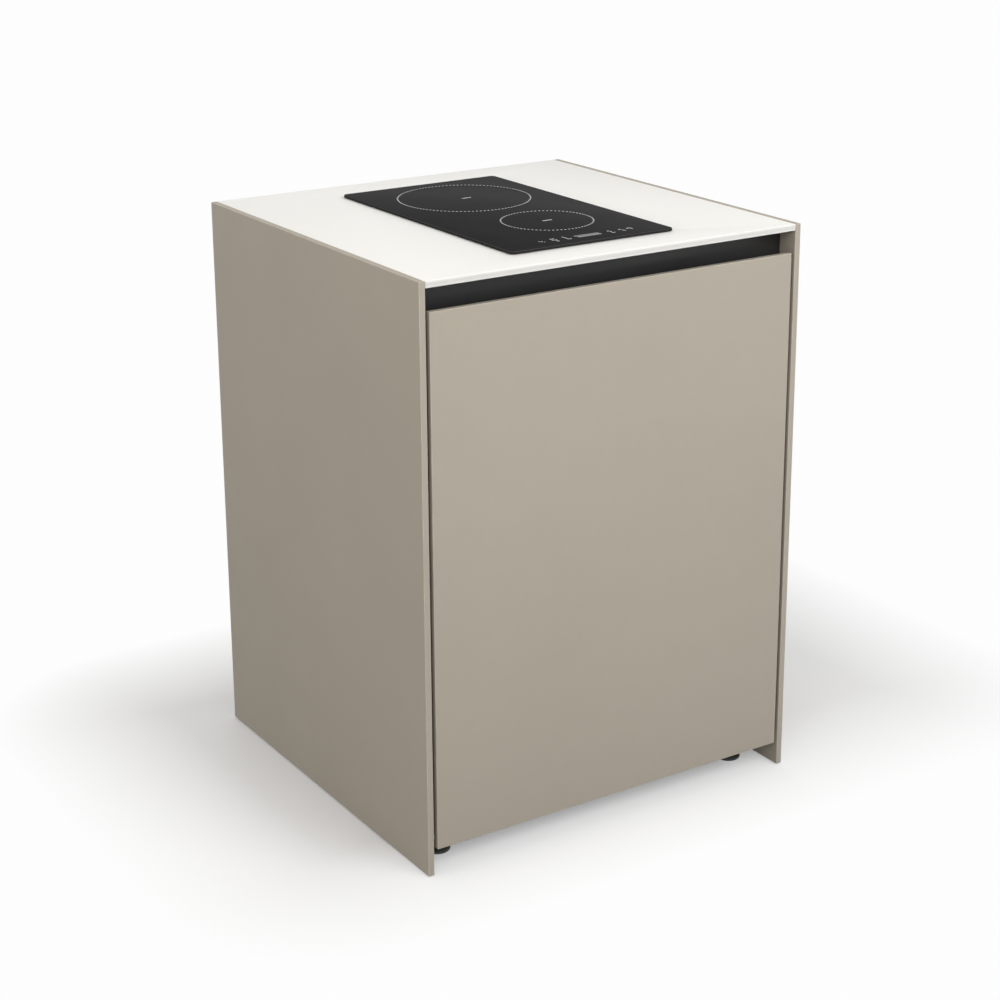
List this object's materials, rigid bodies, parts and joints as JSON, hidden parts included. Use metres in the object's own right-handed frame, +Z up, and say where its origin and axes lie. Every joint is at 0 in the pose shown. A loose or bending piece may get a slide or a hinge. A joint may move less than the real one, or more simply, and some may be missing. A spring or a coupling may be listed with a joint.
{
  "type": "mini kitchen unit",
  "caption": "Free-standing kitchen block with induction hob, thin side covers and worktop, recessed grip channel and one full-height pull-out front.",
  "frame": {"origin": "centre of the footprint on the floor, under the feet", "axes": "+Z up, front towards -Y, +X to the right as seen from the front"},
  "size_m": [0.67, 0.65, 0.905],
  "materials": {
    "taupe_laminate": "fine matt laminate",
    "white_worktop": "matt solid surface",
    "carcass_board": "matt melamine-faced board",
    "grip_black": "satin black anodised",
    "ceramic_glass": "polished black",
    "zinc_steel": "zinc plated",
    "tray_steel": "galvanised",
    "drawer_grey": "satin powder coat",
    "drawer_board": "fine-grained foil",
    "black_plastic": "moulded",
    "clear_bumper": "soft translucent",
    "foam_gasket": "closed-cell foam",
    "copper_coil": "enamelled strand",
    "ferrite": "sintered",
    "carrier_aluminium": "mill",
    "circuit_board": "solder mask",
    "sensor_white": "ceramic-filled",
    "beech": "ribbed dowel"
  },
  "bodies": {
    "cabinet": {"cover_left": "taupe_laminate", "cover_right": "taupe_laminate", "worktop": "white_worktop", "carcass_side_left": "carcass_board", "carcass_side_right": "carcass_board", "carcass_base": "carcass_board", "back_panel": "taupe_laminate", "front_rail": "carcass_board", "rear_rail": "carcass_board", "grip_channel": "grip_black", "worktop_brackets": "zinc_steel", "worktop_screws": "zinc_steel", "cover_screws": "zinc_steel", "carcass_dowels": "beech", "foot_sockets": "black_plastic", "heat_shield": "tray_steel", "cable_grommet": "black_plastic", "lower_cabinet_rail_left": "zinc_steel", "lower_cabinet_rail_right": "zinc_steel", "upper_cabinet_rail_left": "zinc_steel", "upper_cabinet_rail_right": "zinc_steel", "hob_glass": "ceramic_glass", "hob_gasket": "foam_gasket", "hob_tray": "tray_steel", "rear_coil": "copper_coil", "front_coil": "copper_coil", "rear_coil_carrier": "carrier_aluminium", "front_coil_carrier": "carrier_aluminium", "ferrite_bars": "ferrite", "coil_sensors": "sensor_white", "power_board": "circuit_board", "heat_sink": "carrier_aluminium", "control_board": "circuit_board", "fan_housing": "black_plastic", "hob_clamps": "zinc_steel", "terminal_box": "black_plastic"},
    "pullout": {"front_panel": "taupe_laminate", "front_brackets": "zinc_steel", "front_bumpers": "clear_bumper", "deep_drawer_side_left": "drawer_grey", "deep_drawer_side_right": "drawer_grey", "deep_drawer_back": "drawer_board", "deep_drawer_base": "drawer_board", "gallery_rails": "drawer_grey", "lower_drawer_rails": "zinc_steel"},
    "inner_drawer": {"inner_drawer_side_left": "drawer_grey", "inner_drawer_side_right": "drawer_grey", "inner_drawer_front": "drawer_grey", "inner_drawer_back": "drawer_board", "inner_drawer_base": "drawer_board", "upper_drawer_rails": "zinc_steel"},
    "lower_runner_left": {"lower_middle_rail_left": "zinc_steel"},
    "lower_runner_right": {"lower_middle_rail_right": "zinc_steel"},
    "upper_runner_left": {"upper_middle_rail_left": "zinc_steel"},
    "upper_runner_right": {"upper_middle_rail_right": "zinc_steel"},
    "fan": {"fan_rotor": "black_plastic"},
    "front_left_foot": {"foot_front_left": "black_plastic"},
    "front_right_foot": {"foot_front_right": "black_plastic"},
    "rear_left_foot": {"foot_rear_left": "black_plastic"},
    "rear_right_foot": {"foot_rear_right": "black_plastic"}
  },
  "joints": [
    {"name": "pullout_slide", "type": "slide", "parent": "cabinet", "child": "pullout", "axis": [0, -1, 0], "range_m": [0, 0.45]},
    {"name": "inner_drawer_slide", "type": "slide", "parent": "cabinet", "child": "inner_drawer", "axis": [0, -1, 0], "range_m": [0, 0.45]},
    {"name": "lower_runner_left_slide", "type": "slide", "parent": "cabinet", "child": "lower_runner_left", "axis": [0, -1, 0], "range_m": [0, 0.225]},
    {"name": "lower_runner_right_slide", "type": "slide", "parent": "cabinet", "child": "lower_runner_right", "axis": [0, -1, 0], "range_m": [0, 0.225]},
    {"name": "upper_runner_left_slide", "type": "slide", "parent": "cabinet", "child": "upper_runner_left", "axis": [0, -1, 0], "range_m": [0, 0.225]},
    {"name": "upper_runner_right_slide", "type": "slide", "parent": "cabinet", "child": "upper_runner_right", "axis": [0, -1, 0], "range_m": [0, 0.225]},
    {"name": "fan_spin", "type": "hinge", "parent": "cabinet", "child": "fan", "pos_m": [0.016, -0.11, 0.862], "axis": [0, 0, 1], "continuous": true},
    {"name": "front_left_foot_level", "type": "slide", "parent": "cabinet", "child": "front_left_foot", "axis": [0, 0, 1], "range_m": [-0.01, 0]},
    {"name": "front_right_foot_level", "type": "slide", "parent": "cabinet", "child": "front_right_foot", "axis": [0, 0, 1], "range_m": [-0.01, 0]},
    {"name": "rear_left_foot_level", "type": "slide", "parent": "cabinet", "child": "rear_left_foot", "axis": [0, 0, 1], "range_m": [-0.01, 0]},
    {"name": "rear_right_foot_level", "type": "slide", "parent": "cabinet", "child": "rear_right_foot", "axis": [0, 0, 1], "range_m": [-0.01, 0]}
  ],
  "couplings": [
    {"joint": "inner_drawer_slide", "follows": "pullout_slide", "ratio": 1},
    {"joint": "lower_runner_left_slide", "follows": "pullout_slide", "ratio": 0.5},
    {"joint": "lower_runner_right_slide", "follows": "pullout_slide", "ratio": 0.5},
    {"joint": "upper_runner_left_slide", "follows": "pullout_slide", "ratio": 0.5},
    {"joint": "upper_runner_right_slide", "follows": "pullout_slide", "ratio": 0.5}
  ]
}
